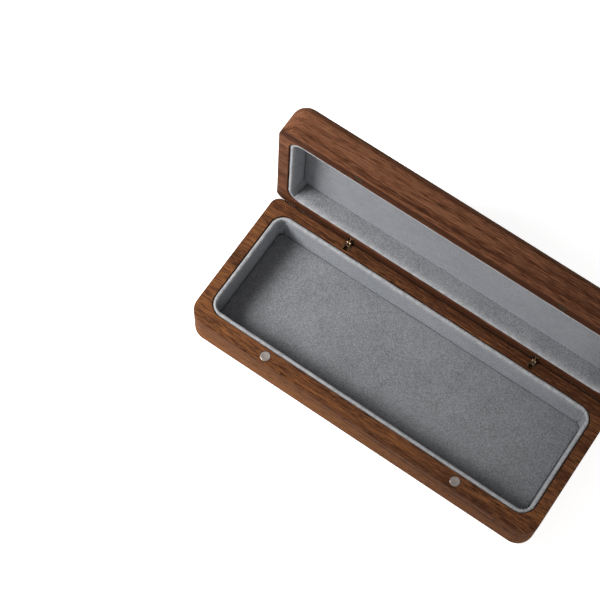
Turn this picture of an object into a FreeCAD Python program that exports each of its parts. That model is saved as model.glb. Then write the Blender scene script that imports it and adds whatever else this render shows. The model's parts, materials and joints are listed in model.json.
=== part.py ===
import FreeCAD, Part
import math
import os

from FreeCAD import Vector

# A hinged eyeglasses case milled from two blocks of walnut, standing open.
# X runs along the case, the hinges are at +Y and the magnets at -Y, and Z is up.
# The origin is the centre of the base's underside. All sizes are in millimetres.

# Overall sizes
case_length = 170.0
case_width = 66.5
base_height = 22.3
lid_height = 16.2

# Walls of both halves
side_wall = 5.15
back_wall = 5.15
front_wall = 6.7
base_open_depth = 15.2      # from the rim to the lining at the bottom of the cavity
lid_open_depth = 8.8

# Rounded corners and edges
front_corner = 7.5          # the four corners seen from above
hinge_corner = 4.5
cavity_corner = 7.0
base_edge = 3.5             # round the base's underside
lid_edge = 6.0              # round the lid's top
rim_break = 0.4             # the sanded edge round the outside of a rim, except at the hinges
cavity_break = 0.25

# Lining: a card with foam on it, covered in suede
card_thickness = 0.4
wall_foam = 0.6
panel_foam = 0.6
suede_thickness = 0.6
liner_gap = 0.3             # between the wood and the lining
lip_drop = 0.3              # the lining's lip stands this far below the rim
lip_round = 0.8
fold_depth = 5.0            # how far the suede turns down behind the card
panel_clearance = 0.15      # between the padded panel and the wall lining

# Magnets
magnet_diameter = 4.5
magnet_thickness = 3.0
magnet_recess = 0.1
magnet_spacing = 94.0       # between the two in one rim
glue_gap = 0.05             # round a magnet or a barrel in its bore

# Barrel hinges. A hinge for a thicker wall is larger all over.
hinge_spacing = 93.0
barrel_skin = 0.475         # wood left on each side of a barrel's bore
barrel_length = 7.0
leaf_share = 0.29           # thickness of a leaf, of the bore's radius
pin_share = 0.5             # radius of a pin, of the radius of a leaf's end
link_slope = 0.43           # depth of a pivot below the rim, of its distance in from the back
leaf_clearance = 0.05       # beside each leaf
slot_clearance = 0.08       # from a leaf's end to the bore or the bottom of the slot
running_clearance = 0.03    # round a pin in a leaf that turns on it
pin_inset = 0.12            # a pin ends this far inside the barrel's side

rim_gap = 0.02              # between the two rims when the case is shut

# Worked out
lid_axis = Vector(0, case_width / 2, base_height + rim_gap / 2)
rim = -rim_gap / 2          # height of a rim in the frame of a half
band = card_thickness + wall_foam + 2 * suede_thickness
pad = card_thickness + panel_foam + suede_thickness
magnet_y = -case_width + front_wall / 2
barrel_y = -back_wall / 2
bore_radius = back_wall / 2 - barrel_skin
leaf = leaf_share * bore_radius
stack_half = 1.5 * leaf + leaf_clearance
swing_half = math.sqrt(bore_radius ** 2 - stack_half ** 2) - slot_clearance


# A hinge's two links and the lines from the lid's axis to the two barrel pins make a
# rhombus, so the links turn with the lid one to one. The rhombus is as large as the
# leaves' ends may swing between the two sides of the bore.
slant = math.hypot(1, link_slope)
inner_reach = back_wall / 2 + swing_half
outer_reach = back_wall / 2 - swing_half
pivot_in = (outer_reach + slant * inner_reach) / (1 - link_slope ** 2 + 2 * slant)
pivot_down = link_slope * pivot_in
leaf_end = inner_reach - 2 * pivot_in
pin_radius = pin_share * leaf_end
slot_depth = pivot_down + leaf_end + slot_clearance


def edges_at(shape, height):
    """Edges that lie flat at one height."""
    return [e for e in shape.Edges
            if abs(e.BoundBox.ZMin - height) < 1e-4 and abs(e.BoundBox.ZMax - height) < 1e-4]


def rounded_box(x_half, y_low, y_high, z_low, z_high, corner):
    """An upright box with its four standing edges rounded."""
    box = Part.makeBox(2 * x_half, y_high - y_low, z_high - z_low, Vector(-x_half, y_low, z_low))
    standing = [e for e in box.Edges if e.BoundBox.ZLength > e.BoundBox.XLength + e.BoundBox.YLength]
    return box.makeFillet(corner, standing)


def cavity_block(inset, z_low, z_high):
    """What fills the outline of the cavity, made smaller by an inset all round."""
    return rounded_box(case_length / 2 - side_wall - inset, -case_width + front_wall + inset,
                       -back_wall - inset, z_low, z_high, cavity_corner - inset)


def cavity_ring(outer_inset, inner_inset, z_low, z_high):
    return cavity_block(outer_inset, z_low, z_high).cut(cavity_block(inner_inset, z_low, z_high))


def upright_cylinder(radius, x, y, z_low, z_high):
    return Part.makeCylinder(radius, z_high - z_low, Vector(x, y, z_low))


def cross_cylinder(radius, length, x_middle, y, z):
    """A cylinder along X."""
    return Part.makeCylinder(radius, length, Vector(x_middle - length / 2, y, z), Vector(1, 0, 0))


# The parts of a half are made in a frame of their own, the same for the base and the lid:
# the lid's axis is its X axis, the rim faces up just below it, and the front is at -Y.

def mouth_edges(block):
    """The edges of the cavity at the rim: those that lie inside the middle of the walls."""
    x_limit = case_length / 2 - side_wall / 2
    y_low, y_high = -case_width + front_wall / 2, -back_wall / 2
    return [e for e in edges_at(block, rim)
            if abs(e.CenterOfMass.x) < x_limit and y_low < e.CenterOfMass.y < y_high]


def blank(height, outer_edge):
    """The block a half is milled from, rounded at its corners and at the edges away from the rim."""
    box = Part.makeBox(case_length, case_width, height,
                       Vector(-case_length / 2, -case_width, rim - height))
    radii = []
    for number, edge in enumerate(box.Edges, 1):
        if edge.BoundBox.ZLength > height / 2:
            radius = hinge_corner if edge.CenterOfMass.y > -case_width / 2 else front_corner
            radii.append((number, radius, radius))
        elif edge.CenterOfMass.z < rim - height / 2:
            radii.append((number, outer_edge, outer_edge))
    document = FreeCAD.newDocument()
    square = document.addObject("Part::Feature", "square")
    square.Shape = box
    rounded = document.addObject("Part::Fillet", "rounded")
    rounded.Base = square
    rounded.Edges = radii
    document.recompute()
    return rounded.Shape


def shell(height, outer_edge, open_depth):
    """A milled block with its cavity, its magnet pockets and its barrel bores."""
    block = blank(height, outer_edge)
    hinge_side = Part.makeBox(case_length, hinge_corner, 2 * rim_break,
                              Vector(-case_length / 2, -hinge_corner, rim - 2 * rim_break))
    crisp = block.common(hinge_side)
    block = block.makeFillet(rim_break, edges_at(block, rim)).fuse(crisp).removeSplitter()
    block = block.cut(cavity_block(0, rim - open_depth - pad, rim))
    block = block.makeFillet(cavity_break, mouth_edges(block))
    for x in (-magnet_spacing / 2, magnet_spacing / 2):
        floor = rim - magnet_recess - magnet_thickness
        block = block.cut(upright_cylinder(magnet_diameter / 2 + glue_gap, x, magnet_y, floor, rim))
    for x in (-hinge_spacing / 2, hinge_spacing / 2):
        block = block.cut(upright_cylinder(bore_radius, x, barrel_y, rim - barrel_length, rim))
    return block


def wall_suede(open_depth):
    """Suede down the inside of the wall lining, over its lip and a little way down behind."""
    floor = rim - open_depth - pad
    lip = rim - lip_drop
    inside = liner_gap + band
    cover = cavity_ring(liner_gap, inside, floor, lip)
    cover = cover.makeFillet(lip_round, edges_at(cover, lip))
    stuffing = cavity_ring(liner_gap + suede_thickness, inside - suede_thickness, floor,
                           lip - suede_thickness)
    behind = cavity_ring(liner_gap, liner_gap + suede_thickness, floor, lip - fold_depth)
    return cover.cut(stuffing).cut(behind)


def wall_layer(outer_inset, thickness, open_depth):
    """A band of card or foam inside the suede of the wall lining."""
    return cavity_ring(outer_inset, outer_inset + thickness, rim - open_depth - pad,
                       rim - lip_drop - suede_thickness)


def panel_layer(depth, thickness):
    """A sheet of the panel that lies in the bottom, its face at a depth below the rim."""
    inset = liner_gap + band + panel_clearance
    return cavity_block(inset, rim - depth - thickness, rim - depth)


def lining(open_depth):
    """The wall lining and the padded panel of a half, each of card, foam and suede."""
    card_inset = liner_gap + suede_thickness
    foam_inset = card_inset + card_thickness
    foam_top = open_depth + suede_thickness
    return {
        "wall_card": wall_layer(card_inset, card_thickness, open_depth),
        "wall_foam": wall_layer(foam_inset, wall_foam, open_depth),
        "wall_suede": wall_suede(open_depth),
        "panel_card": panel_layer(foam_top + panel_foam, card_thickness),
        "panel_foam": panel_layer(foam_top, panel_foam),
        "panel_suede": panel_layer(open_depth, suede_thickness),
    }


def magnet(x):
    top = rim - magnet_recess
    disc = upright_cylinder(magnet_diameter / 2, x, magnet_y, top - magnet_thickness, top)
    return disc.makeChamfer(0.15, edges_at(disc, top))


def barrel(x):
    """A brass barrel with the slot that the leaves swing in and the hole for its pin."""
    body = upright_cylinder(bore_radius - glue_gap, x, barrel_y, rim - barrel_length, rim)
    slot_half = stack_half + leaf_clearance
    slot = Part.makeBox(2 * slot_half, 2 * bore_radius, slot_depth,
                        Vector(x - slot_half, barrel_y - bore_radius, -slot_depth))
    hole = cross_cylinder(pin_radius, 2 * bore_radius, x, -pivot_in, -pivot_down)
    return body.cut(slot).cut(hole)


def barrel_pin(x):
    half_chord = math.sqrt((bore_radius - glue_gap) ** 2 - (barrel_y + pivot_in) ** 2)
    return cross_cylinder(pin_radius, 2 * (half_chord - pin_inset), x, -pivot_in, -pivot_down)


def place_base(shape):
    """From the frame of a half to where the base stands."""
    shape.translate(lid_axis)
    return shape


def place_lid(shape):
    """From the frame of a half to the lid standing open, square to the base."""
    shape.rotate(Vector(0, 0, 0), Vector(0, 1, -1), 180)
    shape.translate(lid_axis)
    return shape


# The links are made where they are with the lid open, in Y and Z from the lid's axis.
base_pivot = (-pivot_in, -pivot_down)
lid_pivot = (pivot_down, pivot_in)
middle_pivot = (base_pivot[0] + lid_pivot[0], base_pivot[1] + lid_pivot[1])


def leaf_plate(start, end, start_hole, end_hole, x):
    """A flat leaf with round ends, centred at x, with a hole in each end."""
    run_y, run_z = end[0] - start[0], end[1] - start[1]
    length = math.hypot(run_y, run_z)
    side = Vector(0, -run_z, run_y) * (leaf_end / length)
    left = x - leaf / 2
    first, last = Vector(left, *start), Vector(left, *end)
    outline = Part.makePolygon([first + side, last + side, last - side, first - side, first + side])
    plate = Part.Face(outline).extrude(Vector(leaf, 0, 0))
    for y, z in (start, end):
        plate = plate.fuse(cross_cylinder(leaf_end, leaf, x, y, z))
    plate = plate.removeSplitter()
    plate = plate.cut(cross_cylinder(start_hole, 2 * leaf, x, *start))
    return plate.cut(cross_cylinder(end_hole, 2 * leaf, x, *end))


def outer_leaves(x):
    """The pair of leaves that turn on the base's pin and hold the middle pin."""
    step = leaf + leaf_clearance
    turning = pin_radius + running_clearance
    pair = [leaf_plate(base_pivot, middle_pivot, turning, pin_radius, x + side * step)
            for side in (-1, 1)]
    return Part.makeCompound(pair)


def inner_leaf(x):
    """The leaf that turns on the lid's pin and on the middle pin."""
    turning = pin_radius + running_clearance
    return leaf_plate(lid_pivot, middle_pivot, turning, turning, x)


def middle_pin(x):
    return cross_cylinder(pin_radius, 2 * stack_half, x, *middle_pivot)


def half_nodes(name, place, height, outer_edge, open_depth, turned):
    """Every piece of one half. In the lid's frame left and right have changed places."""
    nodes = {name + "_shell": place(shell(height, outer_edge, open_depth))}
    for piece, shape in lining(open_depth).items():
        nodes[name + "_" + piece] = place(shape)
    for side, sign in (("left", -1), ("right", 1)):
        nodes[name + "_magnet_" + side] = place(magnet(turned * sign * magnet_spacing / 2))
        x = turned * sign * hinge_spacing / 2
        nodes[name + "_barrel_" + side] = place(barrel(x))
        nodes[name + "_hinge_pin_" + side] = place(barrel_pin(x))
    return nodes


def link_nodes():
    """The leaves and middle pins of both hinges."""
    nodes = {}
    for side, sign in (("left", -1), ("right", 1)):
        x = sign * hinge_spacing / 2
        for name, make in (("outer_leaves", outer_leaves), ("inner_leaf", inner_leaf),
                           ("middle_pin", middle_pin)):
            shape = make(x)
            shape.translate(lid_axis)
            nodes["hinge_" + name + "_" + side] = shape
    return nodes


def main():
    nodes = half_nodes("base", place_base, base_height, base_edge, base_open_depth, 1)
    nodes.update(half_nodes("lid", place_lid, lid_height, lid_edge, lid_open_depth, -1))
    nodes.update(link_nodes())
    os.makedirs("parts", exist_ok=True)
    for name, shape in nodes.items():
        shape.exportStep("parts/" + name + ".step")
        print(name, "valid" if shape.isValid() else "NOT VALID", len(shape.Solids), round(shape.Volume, 2))


main()
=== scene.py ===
import json
import math

import bmesh
import bpy
from mathutils import Matrix, Vector, noise


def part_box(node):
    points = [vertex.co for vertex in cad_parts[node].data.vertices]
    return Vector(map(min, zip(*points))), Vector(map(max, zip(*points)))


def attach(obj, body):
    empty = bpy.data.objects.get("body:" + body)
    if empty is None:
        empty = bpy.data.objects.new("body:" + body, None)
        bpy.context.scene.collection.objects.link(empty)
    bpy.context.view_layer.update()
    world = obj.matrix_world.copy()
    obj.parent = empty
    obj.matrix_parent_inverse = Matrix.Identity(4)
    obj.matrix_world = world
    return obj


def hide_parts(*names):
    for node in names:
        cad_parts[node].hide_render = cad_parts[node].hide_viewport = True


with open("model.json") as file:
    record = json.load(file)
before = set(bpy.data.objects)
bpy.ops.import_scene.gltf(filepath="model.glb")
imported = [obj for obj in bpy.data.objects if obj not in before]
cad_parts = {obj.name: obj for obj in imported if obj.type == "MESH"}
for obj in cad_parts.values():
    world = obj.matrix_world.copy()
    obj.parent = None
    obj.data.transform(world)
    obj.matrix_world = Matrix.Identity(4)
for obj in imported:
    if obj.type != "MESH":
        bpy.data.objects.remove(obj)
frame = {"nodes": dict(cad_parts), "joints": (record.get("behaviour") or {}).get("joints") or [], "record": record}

noise.seed_set(1)  # without a seed the ripples would change from run to run
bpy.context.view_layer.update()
mm = 0.001
weld = 0.002 * mm    # points closer than this become one
level = 0.01 * mm    # heights closer than this count as the same
onCut = 0.0001 * mm  # points closer than this to a cut lie on it
hingeLine = Vector(frame["joints"][0]["pos_m"])  # the lid's axis, along X
up = Vector((0, 0, 1))
print("frame loaded,", len(frame["nodes"]), "nodes")


def halfPlace(half):
    # both halves are made rim up with the lid's axis at the origin, and the lid is then stood open
    place = Matrix.Translation(hingeLine)
    if half == "lid":
        place = place @ Matrix.Rotation(math.pi, 4, Vector((0, 1, -1)).normalized())
    return place


def halfBox(half, node):
    # a node's box in the frame of its half
    back = halfPlace(half).inverted()
    corners = [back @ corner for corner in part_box(half + "_" + node)]
    low = Vector([min(c[i] for c in corners) for i in range(3)])
    high = Vector([max(c[i] for c in corners) for i in range(3)])
    return low, high


def bevel(bm, edges, width, segments, clamp=False):
    bmesh.ops.bevel(bm, geom=edges, offset=width, offset_type="OFFSET", affect="EDGES", segments=segments,
                    profile=0.5, material=-1, clamp_overlap=clamp)


def makePiece(name, bm, body, material, node):
    # an object that rides on a body and stands for a node
    mesh = bpy.data.meshes.new(name)
    bm.to_mesh(mesh)
    bm.free()
    mesh.shade_smooth()
    mesh.materials.append(material)
    piece = bpy.data.objects.new(name, mesh)
    bpy.context.scene.collection.objects.link(piece)
    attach(piece, body)
    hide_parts(node)
    return piece


def makeHalfPiece(name, bm, half, material, node):
    # the same from a mesh that is still in the frame of its half
    bmesh.ops.recalc_face_normals(bm, faces=bm.faces)
    bmesh.ops.transform(bm, matrix=halfPlace(half), verts=bm.verts)
    return makePiece(name, bm, half, material, half + "_" + node)


camera = {"azimuth": 30.13, "elevation": 69.37, "roll": 4.51, "distance": 0.72066,
          "target": (-0.05055, 0.00126, 0.0153), "lens": 101.32, "nearest": 0.01}


def makeCamera(c):
    azimuth, elevation, roll = (math.radians(c[k]) for k in ("azimuth", "elevation", "roll"))
    back = Vector((math.sin(azimuth) * math.cos(elevation), -math.cos(azimuth) * math.cos(elevation),
                   math.sin(elevation)))
    right = (-back).cross(up).normalized()
    above = right.cross(-back)
    rolledRight = right * math.cos(roll) + above * math.sin(roll)
    rolledUp = above * math.cos(roll) - right * math.sin(roll)
    turn = Matrix((rolledRight, rolledUp, back)).transposed().to_4x4()
    data = bpy.data.cameras.new("camera")
    data.lens = c["lens"]
    data.clip_start = c["nearest"]
    body = bpy.data.objects.new("camera", data)
    body.matrix_world = Matrix.Translation(Vector(c["target"]) + back * c["distance"]) @ turn
    bpy.context.scene.collection.objects.link(body)
    bpy.context.scene.camera = body


makeCamera(camera)
print("camera set")


def add(tree, kind, sockets=None, **settings):
    # a new node, with its settings, and with values or links in its input sockets
    made = tree.nodes.new("ShaderNode" + kind)
    for key, value in settings.items():
        setattr(made, key, value)
    for key, value in (sockets or {}).items():
        if isinstance(value, bpy.types.NodeSocket):
            tree.links.new(value, made.inputs[key])
        else:
            made.inputs[key].default_value = value
    return made


def maths(tree, operation, a, b=0.0):
    return add(tree, "Math", {0: a, 1: b}, operation=operation).outputs[0]


def vectorMaths(tree, operation, a, b):
    return add(tree, "VectorMath", {0: a, 1: b}, operation=operation).outputs


def scaled(tree, vector, factor):
    return add(tree, "VectorMath", {0: vector, 3: factor}, operation="SCALE").outputs[0]


def mask(tree, value, low, high, start=0.0, end=1.0):
    return add(tree, "MapRange", {0: value, 1: low, 2: high, 3: start, 4: end},
               interpolation_type="SMOOTHSTEP").outputs[0]


def mixed(tree, factor, a, b):
    return add(tree, "Mix", {0: factor, 6: a, 7: b}, data_type="RGBA").outputs[2]


def noisy(tree, vector, scale, detail=2.0, roughness=0.5, distortion=0.0, output=0):
    # a noise that has a scale of its own along each axis
    stretched = vectorMaths(tree, "MULTIPLY", vector, scale)[0]
    return add(tree, "TexNoise", {"Vector": stretched, "Scale": 1.0, "Detail": detail,
                                  "Roughness": roughness, "Distortion": distortion}).outputs[output]


def fromLine(tree, place, line):
    # the distance from a line parallel to X
    away = vectorMaths(tree, "MULTIPLY", vectorMaths(tree, "SUBTRACT", place, line)[0], (0, 1, 1))[0]
    return add(tree, "VectorMath", {0: away}, operation="LENGTH").outputs[1]


def newGroup(name, inputs, outputs):
    group = bpy.data.node_groups.new(name, "ShaderNodeTree")
    for label, kind in inputs:
        group.interface.new_socket(label, in_out="INPUT", socket_type="NodeSocket" + kind)
    for label, kind in outputs:
        group.interface.new_socket(label, in_out="OUTPUT", socket_type="NodeSocket" + kind)
    start = group.nodes.new("NodeGroupInput")
    end = group.nodes.new("NodeGroupOutput")
    return group, start.outputs, end.inputs


def useGroup(tree, group, values):
    return add(tree, "Group", values, node_tree=group).outputs


def newMaterial(name):
    material = bpy.data.materials.new(name)
    material.use_nodes = True
    tree = material.node_tree
    return material, tree, tree.nodes["Principled BSDF"].inputs


def setMaterial(node, material):
    node.data.materials.clear()
    node.data.materials.append(material)


def relieved(tree, shader, height, strength, depth):
    bump = add(tree, "Bump", {"Strength": strength, "Distance": depth, "Height": height})
    tree.links.new(bump.outputs[0], shader["Normal"])


def objectMillimetres(tree, shift=(0, 0, 0)):
    place = add(tree, "TexCoord").outputs["Object"]
    return add(tree, "Mapping", {"Vector": place, "Location": shift, "Scale": [1 / mm] * 3}).outputs[0]


# the scales of the grain's noises are per mm, and its lines fade between two distances in mm
grain = {"wander": (0.008, 0.035, 0.035), "broad": (0.007, 0.16, 0.16), "streak": (0.022, 2.0, 2.0),
         "fibre": (0.17, 4.0, 4.0), "pore": (0.30, 2.7, 2.7), "crowd": (0.02, 0.5, 0.5),
         "broadShare": 0.50, "streakShare": 0.80, "ringShare": 0.17, "fibreShare": 0.25,
         "streakLine": (2.2, 5.0), "seamShadeLine": (0.3, 0.9), "seamShadeShare": 0.8,
         "poreColour": (0.022, 0.011, 0.006, 1), "seamShadeColour": (0.010, 0.005, 0.003, 1)}


def walnutGroup(g):
    group, given, out = newGroup("walnutGrain", [
        ("Vector", "Vector"), ("Pith", "Vector"), ("Ring Spacing", "Float"), ("Figure", "Float"),
        ("Lean", "Vector"), ("Streak A", "Vector"), ("Streak B", "Vector"), ("Streak Share", "Float"),
        ("Seam Shade", "Vector"), ("Tone", "Float"), ("Pore Share", "Float"),
        ("Light", "Color"), ("Middle", "Color"), ("Dark", "Color")],
        [("Color", "Color"), ("Roughness", "Float"), ("Height", "Float")])
    place = given["Vector"]
    # the growth rings lie round a pith along X, and wander
    wander = noisy(group, place, g["wander"], output=1)
    drift = scaled(group, vectorMaths(group, "SUBTRACT", wander, (0.5, 0.5, 0.5))[0], given["Figure"])
    bent = vectorMaths(group, "ADD", place, drift)[0]
    ring = maths(group, "DIVIDE", fromLine(group, bent, given["Pith"]), given["Ring Spacing"])
    share = maths(group, "FRACT", ring)
    late = maths(group, "MULTIPLY", mask(group, share, 0.45, 0.93), mask(group, share, 1.0, 0.95))
    year = maths(group, "MULTIPLY", maths(group, "FLOOR", ring), 0.73)
    yearly = add(group, "TexNoise", {"W": year, "Scale": 1.0, "Detail": 0.0},
                 noise_dimensions="1D").outputs[0]
    late = maths(group, "MULTIPLY", late, mask(group, yearly, 0.3, 0.7, 0.35, 1.0))
    # streaks, fibres and open pores all run along X
    broad = noisy(group, bent, g["broad"], 3.0)
    streak = noisy(group, bent, g["streak"], 3.0, 0.68)
    fibre = noisy(group, place, g["fibre"], 2.0, 0.6)
    pore = mask(group, noisy(group, place, g["pore"], 1.0), 0.55, 0.65)
    crowd = mask(group, noisy(group, bent, g["crowd"], 1.0), 0.35, 0.62, 0.25, 1.0)
    pore = maths(group, "MULTIPLY", pore, crowd)
    tone = maths(group, "ADD", maths(group, "MULTIPLY", broad, g["broadShare"]),
                 maths(group, "MULTIPLY", streak, g["streakShare"]))
    tone = maths(group, "SUBTRACT", tone, maths(group, "MULTIPLY", late, g["ringShare"]))
    # the board is darker towards one side
    lean = vectorMaths(group, "DOT_PRODUCT", place, given["Lean"])[1]
    tone = maths(group, "ADD", maths(group, "ADD", tone, lean), given["Tone"])
    # two broad dark streaks run along it, near the edges of its rims
    darkStreak = [mask(group, fromLine(group, place, given[line]), *g["streakLine"], 1.0, 0.0)
             for line in ("Streak A", "Streak B")]
    darkStreak = maths(group, "MULTIPLY", maths(group, "MAXIMUM", *darkStreak), given["Streak Share"])
    tone = maths(group, "SUBTRACT", tone, darkStreak)
    tone = maths(group, "ADD", tone, mask(group, fibre, 0.25, 0.75, -g["fibreShare"], g["fibreShare"]))
    colour = mixed(group, mask(group, tone, 0.40, 0.66), given["Dark"], given["Middle"])
    colour = mixed(group, mask(group, tone, 0.60, 0.90), colour, given["Light"])
    colour = mixed(group, maths(group, "MULTIPLY", pore, given["Pore Share"]), colour, g["poreColour"])
    # painted shade: the wood is dark close along the hinge line, where the halves meet, standing in for the shadow
    # in the slit between them
    seamShade = mask(group, fromLine(group, place, given["Seam Shade"]), *g["seamShadeLine"], 1.0, 0.0)
    colour = mixed(group, maths(group, "MULTIPLY", seamShade, g["seamShadeShare"]), colour, g["seamShadeColour"])
    group.links.new(colour, out["Color"])
    rough = maths(group, "ADD", mask(group, streak, 0.25, 0.75, 0.54, 0.66),
                  maths(group, "MULTIPLY", pore, 0.25))
    group.links.new(rough, out["Roughness"])
    relief = maths(group, "SUBTRACT", maths(group, "MULTIPLY", fibre, 0.3), pore)
    group.links.new(relief, out["Height"])
    return group


def walnutMaterial(name, group, w):
    material, tree, shader = newMaterial(name)
    shift = Vector(w["shift"])
    made = useGroup(tree, group, {
        "Vector": objectMillimetres(tree, shift), "Pith": w["pith"], "Ring Spacing": w["ringSpacing"],
        "Figure": w["figure"], "Lean": w["lean"], "Streak A": Vector(w["streaks"][0]) + shift,
        "Streak B": Vector(w["streaks"][1]) + shift, "Streak Share": w["streakShare"],
        # the hinge line, along which shade is painted on the wood
        "Seam Shade": hingeLine / mm + shift, "Tone": w["tone"], "Pore Share": w["poreShare"],
        "Light": w["light"], "Middle": w["middle"], "Dark": w["dark"]})
    tree.links.new(made["Color"], shader["Base Color"])
    tree.links.new(made["Roughness"], shader["Roughness"])
    relieved(tree, shader, made["Height"], strength=0.55, depth=0.12 * mm)
    shader["Specular IOR Level"].default_value = 0.03
    shader["Specular Tint"].default_value = (1.0, 0.72, 0.5, 1)
    return material


# lengths in mm
baseWood = {"shift": (0, 0, -15), "pith": (0, -30, -90), "ringSpacing": 4.6, "figure": 8.0,
            "lean": (-0.0006, -0.0010, -0.0095), "streaks": ((0, 31, 22), (0, -31, 23)),
            "streakShare": 0.07, "tone": 0.04, "poreShare": 0.82, "light": (0.228, 0.088, 0.028, 1),
            "middle": (0.137, 0.056, 0.027, 1), "dark": (0.058, 0.021, 0.010, 1)}
lidWood = {"shift": (40, -40, -62), "pith": (0, 55, -32), "ringSpacing": 3.8, "figure": 6.0,
           "lean": (-0.0006, 0.0080, 0.0012), "streaks": ((0, 32, 24), (0, 31, 85)),
           "streakShare": 0.30, "tone": 0.055, "poreShare": 0.50, "light": (0.235, 0.100, 0.052, 1),
           "middle": (0.138, 0.053, 0.027, 1), "dark": (0.060, 0.022, 0.011, 1)}

grainGroup = walnutGroup(grain)
for node, wood in (("base_shell", baseWood), ("lid_shell", lidWood)):
    setMaterial(frame["nodes"][node], walnutMaterial(node + "_walnut", grainGroup, wood))
print("walnut done")


# each noise of the cloth has a scale per mm and a share of the tone
cloth = {"cloud": (0.06, 0.28), "brushed": (0.35, 0.26), "fibre": (1.0, 1.5), "speck": (2.4, 1.3),
         "toneRange": (1.25, 2.09)}


def clothGroup(c):
    group, given, out = newGroup("napAndMottle", [
        ("Vector", "Vector"), ("Fine", "Float"), ("Light", "Color"), ("Dark", "Color")],
        [("Color", "Color"), ("Height", "Float")])
    place = given["Vector"]
    fine = scaled(group, place, given["Fine"])
    made = {"cloud": noisy(group, place, [c["cloud"][0]] * 3, 3.0, 0.6),
            "brushed": noisy(group, place, [c["brushed"][0]] * 3, 3.0, 0.65, 0.6),
            "fibre": noisy(group, fine, [c["fibre"][0]] * 3, 3.0, 0.7, 0.4),
            "speck": noisy(group, fine, [c["speck"][0]] * 3, 1.0, 0.5)}
    tone = 0.0
    for name, value in made.items():
        tone = maths(group, "ADD", maths(group, "MULTIPLY", value, c[name][1]), tone)
    colour = mixed(group, mask(group, tone, *c["toneRange"]), given["Dark"], given["Light"])
    group.links.new(colour, out["Color"])
    height = maths(group, "ADD", made["fibre"], maths(group, "MULTIPLY", made["speck"], 0.6))
    height = maths(group, "ADD", height, maths(group, "MULTIPLY", made["brushed"], 0.8))
    group.links.new(height, out["Height"])
    return group


def feltedMaterial(name, group, f):
    material, tree, shader = newMaterial(name)
    nap = useGroup(tree, group, {"Vector": objectMillimetres(tree), "Fine": f["fine"], "Light": f["light"],
                                 "Dark": f["dark"]})
    tree.links.new(nap["Color"], shader["Base Color"])
    relieved(tree, shader, nap["Height"], f["strength"], f["relief"])
    shader["Roughness"].default_value = f["roughness"]
    return material


def suedeMaterial(name, group, s):
    material = feltedMaterial(name, group, s)
    tree = material.node_tree
    shader = tree.nodes["Principled BSDF"].inputs
    # painted sheen: the cloth is paler over each lip and for a little way down the wall, in patches, standing in
    # for the light the nap catches there
    lip = add(tree, "Attribute", attribute_name="lip").outputs["Fac"]
    sheenPatches = noisy(tree, objectMillimetres(tree), (0.45, 0.45, 0.45), 3.0, 0.7)
    share = maths(tree, "MULTIPLY", maths(tree, "MULTIPLY", lip, s["lipSheenShare"]),
                  mask(tree, sheenPatches, 0.35, 0.65, 0.45, 1.0))
    colour = mixed(tree, share, shader["Base Color"].links[0].from_socket, s["lipSheenColour"])
    tree.links.new(colour, shader["Base Color"])
    shader["Specular IOR Level"].default_value = 0.1
    shader["Sheen Weight"].default_value = 0.30
    shader["Sheen Roughness"].default_value = 0.45
    shader["Sheen Tint"].default_value = (0.85, 0.9, 1.0, 1)
    return material


suedeLook = {"fine": 1.9, "light": (0.302, 0.306, 0.319, 1), "dark": (0.104, 0.107, 0.113, 1),
             "strength": 0.8, "relief": 0.25 * mm, "roughness": 0.95,
             # the lips' paler colour is painted sheen
             "lipSheenShare": 0.62, "lipSheenColour": (0.50, 0.50, 0.505, 1)}
foamLook = {"fine": 2.5, "light": (0.55, 0.54, 0.50, 1), "dark": (0.40, 0.39, 0.36, 1),
            "strength": 0.5, "relief": 0.2 * mm, "roughness": 0.9}
boardLook = {"fine": 1.2, "light": (0.30, 0.28, 0.25, 1), "dark": (0.20, 0.185, 0.165, 1),
             "strength": 0.5, "relief": 0.2 * mm, "roughness": 0.9}
napGroup = clothGroup(cloth)
suede = suedeMaterial("suede", napGroup, suedeLook)
foam = feltedMaterial("foam", napGroup, foamLook)
board = feltedMaterial("board", napGroup, boardLook)
for node in ("base_wall_card", "base_panel_card", "lid_wall_card", "lid_panel_card"):
    setMaterial(frame["nodes"][node], board)
print("cloth done")


def sweepProfile(profile, low, high, corner, step, cornerSteps):
    # a closed outline of (inset, height) points taken round the rounded rectangle from low to high
    bm = bmesh.new()
    middle = (low + high) / 2
    points = [bm.verts.new((middle.x, low.y + inset, height)) for inset, height in profile]
    loop = [bm.edges.new((points[i - 1], points[i])) for i in range(len(points))]
    halfX, halfY = (high.x - low.x) / 2 - corner, (high.y - low.y) / 2 - corner
    runs = [((1, 0, 0), halfX, (halfX, -halfY)), ((0, 1, 0), 2 * halfY, (halfX, halfY)),
            ((-1, 0, 0), 2 * halfX, (-halfX, halfY)), ((0, -1, 0), 2 * halfY, (-halfX, -halfY)),
            ((1, 0, 0), halfX, None)]

    def spin(centre, angle, steps, slide=(0, 0, 0)):
        made = bmesh.ops.spin(bm, geom=loop, cent=centre, axis=up, dvec=slide, angle=angle, steps=steps)
        return [e for e in made["geom_last"] if isinstance(e, bmesh.types.BMEdge)]

    for direction, length, turn in runs:
        count = max(1, round(length / step))
        loop = spin((0, 0, 0), 0, count, Vector(direction) * length / count)
        if turn:
            loop = spin((middle.x + turn[0], middle.y + turn[1], 0), math.pi / 2, cornerSteps)
    bmesh.ops.remove_doubles(bm, verts=bm.verts, dist=level)
    return bm


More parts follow.
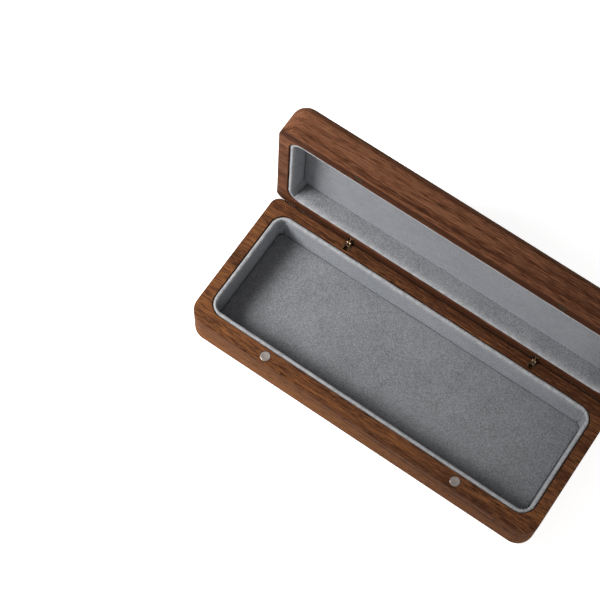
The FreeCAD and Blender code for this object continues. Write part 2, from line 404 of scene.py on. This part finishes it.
def wallProfile(w, bottom, top):
    # over the narrow lip and down inside, where the padding grows,
    # then up behind the cloth and down the fold
    half, growth = w["lipWidth"] / 2, w["band"] - w["lipWidth"]
    shoulder, foldEnd = top - w["lipRise"], top - w["fold"]

    def lipArc(margin):
        across, rise = half - margin, w["lipRise"] - margin
        angles = [math.pi * i / w["lipSteps"] for i in range(w["lipSteps"] + 1)]
        return [(half - across * math.cos(angle), shoulder + rise * math.sin(angle)) for angle in angles]

    def slope(margin):
        count = round((top - bottom) / w["step"])
        shares = [i / count for i in range(1, count + 1)]
        return [(w["lipWidth"] - margin + growth * math.sin(share * math.pi / 2) ** w["swell"],
                 shoulder + (bottom - shoulder) * share) for share in shares]

    front = lipArc(0) + slope(0)
    behind = lipArc(w["thickness"]) + slope(w["thickness"])
    return front + list(reversed(behind)) + [(w["thickness"], foldEnd), (0, foldEnd)]


def cornerFrame(low, high, corner):
    # the middle of a rounded rectangle, and how far its straight sides reach from it
    return (low + high) / 2, (high - low) / 2 - Vector((corner, corner, 0))


def softenWall(bm, w, low, high, seed):
    # tighter corners the deeper they are, slow ripples, and small upright creases in the corners
    middle, reach = cornerFrame(low, high, w["corner"])
    lipSheenLayer = bm.verts.layers.float.new("lip")
    for v in bm.verts:
        x, y = v.co.x - middle.x, v.co.y - middle.y
        outX, outY = max(abs(x) - reach.x, 0), max(abs(y) - reach.y, 0)
        radius = math.hypot(outX, outY)
        inside = min(1, max(0, (w["corner"] - radius) / w["band"]))
        depth = high.z - v.co.z
        lift = min(1, (v.co.z - low.z) / w["calm"])
        shift = noise.noise_vector(v.co / w["longRipple"] + Vector((seed, 0, 0)))
        shift += noise.noise_vector(v.co / w["shortRipple"] + Vector((0, seed, 0))) * w["shortShare"]
        shift.z *= w["upright"]
        if outX > 0 and outY > 0:
            angle = math.atan2(outY, outX)
            deeper = (w["deepPower"] - w["lipPower"]) * min(1, depth / w["deep"])
            power = 2 + (w["lipPower"] - 2 + deeper) * inside
            grown = (math.cos(angle) ** power + math.sin(angle) ** power) ** (-1 / power)
            spot = Vector((math.degrees(angle) / w["creaseAngle"], depth / w["creaseLength"],
                           seed + 3 * (x > 0) + 7 * (y > 0)))
            grown += w["crease"] * inside * math.sin(2 * angle) * noise.noise(spot)
            # but the cloth stays in front of the board
            grown = min(grown, max(1, w["cornerReach"] / radius))
            v.co.x += math.copysign(outX * (grown - 1), x)
            v.co.y += math.copysign(outY * (grown - 1), y)
        # painted sheen: this mask fades from the top of the lip down the wall
        v[lipSheenLayer] = min(1, max(0, 1 - depth / w["lipSheenReach"]))
        v.co += shift * w["ripple"] * lift


def squeezeCorners(bm, low, high, corner, share):
    # the foam is thinnest in the middle of each corner
    middle, reach = cornerFrame(low, high, corner)
    for v in bm.verts:
        x, y = v.co.x - middle.x, v.co.y - middle.y
        outX, outY = abs(x) - reach.x, abs(y) - reach.y
        if outX > 0 and outY > 0:
            radius = math.hypot(outX, outY)
            kept = 1 - share * math.sqrt(math.sin(2 * math.atan2(outY, outX)))
            grown = (corner - (corner - radius) * kept) / radius
            v.co.x += math.copysign(outX * (grown - 1), x)
            v.co.y += math.copysign(outY * (grown - 1), y)


def makeWall(half, w, seed):
    low, high = halfBox(half, "wall_suede")
    bm = sweepProfile(wallProfile(w, low.z, high.z), low, high, w["corner"], w["step"], w["cornerSteps"])
    softenWall(bm, w, low, high, seed)
    piece = makeHalfPiece(half + "_wall_cover", bm, half, suede, "wall_suede")


def makeWallFoam(half, f):
    # a band that narrows to a thin edge under the lip
    low, high = halfBox(half, "wall_foam")
    thick, thin, top = f["thickness"], f["edge"], high.z - f["drop"]
    outline = [(0, low.z), (0, top - thin), (thin / 2, top), (thin, top - thin),
               (f["waist"] * thick, (low.z + top) / 2), (thick, low.z)]
    bm = sweepProfile(outline, low, high, f["corner"], f["step"], f["cornerSteps"])
    squeezeCorners(bm, low, high, f["corner"], f["squeeze"])
    piece = makeHalfPiece(half + "_wall_padding", bm, half, foam, "wall_foam")


def slab(low, high, p, roll, step):
    # a thin sheet with round corners, its upper edge rolled over, cut into small squares
    bm = bmesh.new()
    bmesh.ops.create_cube(bm, size=1)
    size, middle = high - low, (high + low) / 2
    bmesh.ops.scale(bm, vec=size, verts=bm.verts)
    bmesh.ops.translate(bm, vec=middle, verts=bm.verts)
    standing = [e for e in bm.edges if abs(e.verts[0].co.z - e.verts[1].co.z) > size.z / 2]
    bevel(bm, standing, p["corner"], p["cornerSteps"])
    rolled = [e for e in bm.edges if all(v.co.z > high.z - level for v in e.verts)]
    bevel(bm, rolled, roll, p["rollSteps"])
    for axis in (0, 1):
        count = round(size[axis] / step)
        normal = Vector((1 - axis, axis, 0))
        for i in range(1, count):
            bmesh.ops.bisect_plane(bm, geom=bm.verts[:] + bm.edges[:] + bm.faces[:], dist=onCut,
                                   plane_co=low + normal * size[axis] * i / count, plane_no=normal)
    bmesh.ops.remove_doubles(bm, verts=bm.verts, dist=weld)
    return bm


def makePanel(half, p, seed):
    low, high = halfBox(half, "panel_suede")
    bm = slab(low, high, p, p["roll"], p["step"])
    middle, reach = cornerFrame(low, high, 0)
    for v in bm.verts:
        inward = min(reach.x - abs(v.co.x - middle.x), reach.y - abs(v.co.y - middle.y))
        sink = math.exp(-(inward / p["edgeReach"]) ** 2)
        wave = p["longShare"] * noise.noise(v.co / p["longWave"] + Vector((seed, 0, 0)))
        wave += p["shortShare"] * noise.noise(v.co / p["shortWave"])
        v.co.z += p["wave"] * (wave - p["settled"]) * (1 - sink) - p["edgeDrop"] * sink
    piece = makeHalfPiece(half + "_panel_cover", bm, half, suede, "panel_suede")
    low, high = halfBox(half, "panel_foam")
    high.z -= p["foamDrop"]
    bm = slab(low, high, p, p["foamRoll"], p["foamStep"])
    piece = makeHalfPiece(half + "_panel_padding", bm, half, foam, "panel_foam")


wall = {"band": 2.2 * mm, "corner": 6.7 * mm, "step": 1.4 * mm, "cornerSteps": 28, "thickness": 0.45 * mm,
        "lipWidth": 1.75 * mm, "lipRise": 0.8 * mm, "lipSteps": 12, "lipSheenReach": 2.6 * mm, "swell": 0.8,
        "fold": 5.0 * mm, "calm": 4.0 * mm, "ripple": 0.11 * mm, "upright": 0.4, "longRipple": 11 * mm,
        "shortRipple": 4.5 * mm, "shortShare": 0.45, "crease": 0.22, "creaseAngle": 8.0,
        "creaseLength": 5.5 * mm, "cornerReach": 5.55 * mm, "lipPower": 2.4, "deepPower": 4.6,
        "deep": 6.0 * mm}
wallFoam = {"thickness": 0.55 * mm, "edge": 0.0825 * mm, "waist": 0.8, "corner": 5.7 * mm, "drop": 2.0 * mm,
            "step": 6.0 * mm, "cornerSteps": 16, "squeeze": 0.9}
panel = {"corner": 2.6 * mm, "cornerSteps": 12, "roll": 0.42 * mm, "rollSteps": 4, "step": 2.0 * mm,
         "wave": 0.13 * mm, "longWave": 21 * mm, "longShare": 0.7, "shortWave": 7 * mm, "shortShare": 0.3,
         "settled": 0.6, "edgeDrop": 0.2 * mm, "edgeReach": 1.8 * mm,
         "foamDrop": 0.35 * mm, "foamRoll": 0.1 * mm, "foamStep": 12 * mm}
for half, seed in (("base", 3.0), ("lid", 11.0)):
    makeWall(half, wall, seed)
    makeWallFoam(half, wallFoam)
    makePanel(half, panel, seed)
    print(half, "lining done")


def metalGroup():
    group, given, out = newGroup("handledMetal", [
        ("Vector", "Vector"), ("Bright", "Color"), ("Dull", "Color"), ("Polish", "Float")],
        [("Color", "Color"), ("Roughness", "Float"), ("Height", "Float")])
    place = given["Vector"]
    tarnish = noisy(group, place, (0.6, 0.6, 0.6), 3.0, 0.6)
    scratch = noisy(group, place, (1.5, 14.0, 14.0), 2.0, 0.6)
    grime = noisy(group, place, (3.0, 3.0, 3.0), 2.0, 0.6)
    share = maths(group, "ADD", mask(group, tarnish, 0.4, 0.7, 0, 0.6),
                  mask(group, grime, 0.5, 0.75, 0, 0.4))
    group.links.new(mixed(group, share, given["Bright"], given["Dull"]), out["Color"])
    rough = maths(group, "ADD", given["Polish"], mask(group, scratch, 0.3, 0.75, -0.05, 0.16))
    group.links.new(maths(group, "ADD", rough, maths(group, "MULTIPLY", share, 0.1)), out["Roughness"])
    group.links.new(scratch, out["Height"])
    return group


def metalMaterial(name, group, m):
    material, tree, shader = newMaterial(name)
    wear = useGroup(tree, group, {"Vector": objectMillimetres(tree), "Bright": m["bright"],
                                  "Dull": m["dull"], "Polish": m["polish"]})
    tree.links.new(wear["Color"], shader["Base Color"])
    tree.links.new(wear["Roughness"], shader["Roughness"])
    relieved(tree, shader, wear["Height"], strength=0.25, depth=0.03 * mm)
    shader["Metallic"].default_value = 1.0
    return material


metals = {"nickel": {"bright": (0.56, 0.50, 0.46, 1), "dull": (0.34, 0.30, 0.27, 1), "polish": 0.42},
          # painted shade and reflection: the lid's magnets are the same nickel as the base's, made dark brown as
          # if mirroring the darker case in front of them
          "shadedNickel": {"bright": (0.12, 0.072, 0.038, 1), "dull": (0.065, 0.042, 0.024, 1),
                         "polish": 0.55},
          "brass": {"bright": (0.62, 0.48, 0.34, 1), "dull": (0.26, 0.18, 0.11, 1), "polish": 0.34},
          # the barrels and the inner leaf: brass made dark, partly tarnish and partly painted shade, as they sit
          # deep in their holes and between the outer leaves
          "tarnishedAndShadedBrass": {"bright": (0.13, 0.068, 0.034, 1), "dull": (0.055, 0.028, 0.014, 1),
                       "polish": 0.55}}
wearGroup = metalGroup()
metal = {name: metalMaterial(name, wearGroup, look) for name, look in metals.items()}
disc = {"sides": 48, "edge": 0.3 * mm, "edgeSteps": 4, "rimWidth": 0.28 * mm, "dish": 0.04 * mm,
        # the lid's magnets take the darkened nickel, which is painted shade
        "metal": {"base": metal["nickel"], "lid": metal["shadedNickel"]}}


def makeMagnet(half, side, d):
    low, high = halfBox(half, "magnet_" + side)
    radius, depth = (high.x - low.x) / 2, high.z - low.z
    bm = bmesh.new()
    bmesh.ops.create_cone(bm, cap_ends=True, segments=d["sides"], radius1=radius, radius2=radius,
                          depth=depth)
    bmesh.ops.translate(bm, vec=(low + high) / 2, verts=bm.verts)
    ends = [e for e in bm.edges if abs(e.verts[0].co.z - e.verts[1].co.z) < level]
    bevel(bm, ends, d["edge"], d["edgeSteps"])
    face = [f for f in bm.faces if f.calc_center_median().z > high.z - level]
    bmesh.ops.inset_region(bm, faces=face, thickness=d["rimWidth"], depth=-d["dish"])
    makeHalfPiece(half + "_disc_" + side, bm, half, d["metal"][half], "magnet_" + side)


for half in ("base", "lid"):
    for side in ("left", "right"):
        makeMagnet(half, side, disc)
print("magnets done")


softEdge = {"width": 0.05 * mm, "segments": 2, "sharp": math.radians(35), "flat": math.radians(1),
            "smoothBelow": math.radians(40), "dark": ("barrel", "inner_leaf")}
bodyOf = {node: body for body, nodes in frame["record"]["behaviour"]["bodies"].items() for node in nodes}


def softenedCopy(node, e):
    # the same metal part with its sharp edges eased
    bm = bmesh.new()
    bm.from_mesh(frame["nodes"][node].data)
    bmesh.ops.remove_doubles(bm, verts=bm.verts, dist=weld)
    bmesh.ops.dissolve_limit(bm, angle_limit=e["flat"], verts=bm.verts, edges=bm.edges)
    sharp = [edge for edge in bm.edges if edge.is_manifold and edge.calc_face_angle() > e["sharp"]]
    bevel(bm, sharp, e["width"], e["segments"], clamp=True)
    # barrels and inner leaf take the dark brass, partly painted shade; only the outer leaves stay bright
    finish = metal["tarnishedAndShadedBrass" if any(word in node for word in e["dark"]) else "brass"]
    piece = makePiece(node + "_eased", bm, bodyOf[node], finish, node)
    piece.data.set_sharp_from_angle(angle=e["smoothBelow"])


for node in sorted(frame["nodes"]):
    if any(word in node for word in ("barrel", "pin", "leaves", "leaf")):
        softenedCopy(node, softEdge)
print("hinges done")


# the distances from and to which the floor's glow fades, in metres
ground = {"half": 3, "colour": (0.82, 0.82, 0.82, 1), "glow": 0.76, "slant": 0.577, "offset": 0.0192,
          "behindStart": (0.033, 0.036), "behindEnd": (0.046, 0.054), "behindSides": (0.083, 0.086),
          "underStart": (-0.030, -0.027), "underEnd": (0.036, 0.038), "underSides": (0.080, 0.083)}


def makeFloor(g):
    bm = bmesh.new()
    bmesh.ops.create_grid(bm, x_segments=1, y_segments=1, size=g["half"])
    mesh = bpy.data.meshes.new("floor")
    bm.to_mesh(mesh)
    bm.free()
    floor = bpy.data.objects.new("floor", mesh)
    bpy.context.scene.collection.objects.link(floor)
    material, tree, shader = newMaterial("paleFloor")
    shader["Base Color"].default_value = g["colour"]
    shader["Roughness"].default_value = 0.9
    # a glow that only the camera sees keeps the floor pale out to its edges, and lights nothing
    seen = add(tree, "LightPath").outputs["Is Camera Ray"]
    place = add(tree, "SeparateXYZ", {0: add(tree, "TexCoord").outputs["Object"]}).outputs

    def patch(name, across):
        # a part of the floor between two distances back, and so far to either side
        back = maths(tree, "MULTIPLY", mask(tree, place["Y"], *g[name + "Start"]),
                     mask(tree, place["Y"], *g[name + "End"], 1, 0))
        sides = mask(tree, maths(tree, "ABSOLUTE", across), *g[name + "Sides"], 1, 0)
        return maths(tree, "MULTIPLY", back, sides)

    # there is none close behind the case, in a strip with slanted ends, nor under it
    across = maths(tree, "ADD", maths(tree, "MULTIPLY", place["Y"], g["slant"]), place["X"])
    dark = maths(tree, "MAXIMUM", patch("behind", maths(tree, "SUBTRACT", across, g["offset"])),
                 patch("under", place["X"]))
    glow = maths(tree, "MULTIPLY", seen, maths(tree, "SUBTRACT", 1.0, dark))
    shader["Emission Color"].default_value = (1, 1, 1, 1)
    tree.links.new(maths(tree, "MULTIPLY", glow, g["glow"]), shader["Emission Strength"])
    mesh.materials.append(material)


lights = {"sky": 0.24,
          "key": {"from": (-0.36, -0.21, 0.33), "aim": (-0.11, 0.01, 0.02), "size": 0.20, "energy": 0.66,
                  "spread": math.radians(70)},
          "fill": {"from": (0.47, -0.13, 0.12), "aim": (0, 0.01, 0.03), "size": 0.24, "energy": 0.72,
                   "spread": math.radians(180)}}


def makeLights(l):
    world = bpy.data.worlds.new("studio")
    world.use_nodes = True
    sky = world.node_tree.nodes["Background"].inputs
    sky["Color"].default_value = (1, 1, 1, 1)
    sky["Strength"].default_value = l["sky"]
    bpy.context.scene.world = world
    for name in ("key", "fill"):
        data = bpy.data.lights.new(name, "AREA")
        data.size = l[name]["size"]
        data.energy = l[name]["energy"]
        data.spread = l[name]["spread"]
        lamp = bpy.data.objects.new(name, data)
        place = Vector(l[name]["from"])
        turn = (place - Vector(l[name]["aim"])).to_track_quat("Z", "Y")
        lamp.matrix_world = Matrix.Translation(place) @ turn.to_matrix().to_4x4()
        bpy.context.scene.collection.objects.link(lamp)


makeFloor(ground)
makeLights(lights)
bpy.context.scene.view_settings.view_transform = "Standard"
print("floor and lights done")
